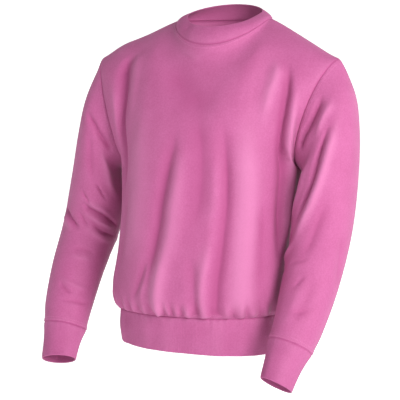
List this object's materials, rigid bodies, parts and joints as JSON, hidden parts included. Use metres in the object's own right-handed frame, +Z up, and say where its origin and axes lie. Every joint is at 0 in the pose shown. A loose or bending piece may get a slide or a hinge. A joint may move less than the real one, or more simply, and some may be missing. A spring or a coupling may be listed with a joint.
{
  "type": "crewneck sweatshirt",
  "caption": "Long-sleeved crewneck sweatshirt filled out as worn, hollow, with set-in sleeves and rib-knit collar, cuffs and hem band",
  "frame": {"origin": "midway between the neck ends of the two shoulder seams, where the wearer's shoulders hold the garment up", "axes": "+X to the wearer's left, -Y to the front, +Z up"},
  "size_m": [0.6764, 0.3158, 0.7696],
  "materials": {
    "fleece": "matte",
    "rib": "matte"
  },
  "bodies": {
    "root": {"front": "fleece", "back": "fleece", "left_sleeve": "fleece", "right_sleeve": "fleece", "collar": "rib", "left_cuff": "rib", "right_cuff": "rib", "hem_band": "rib"}
  },
  "joints": []
}
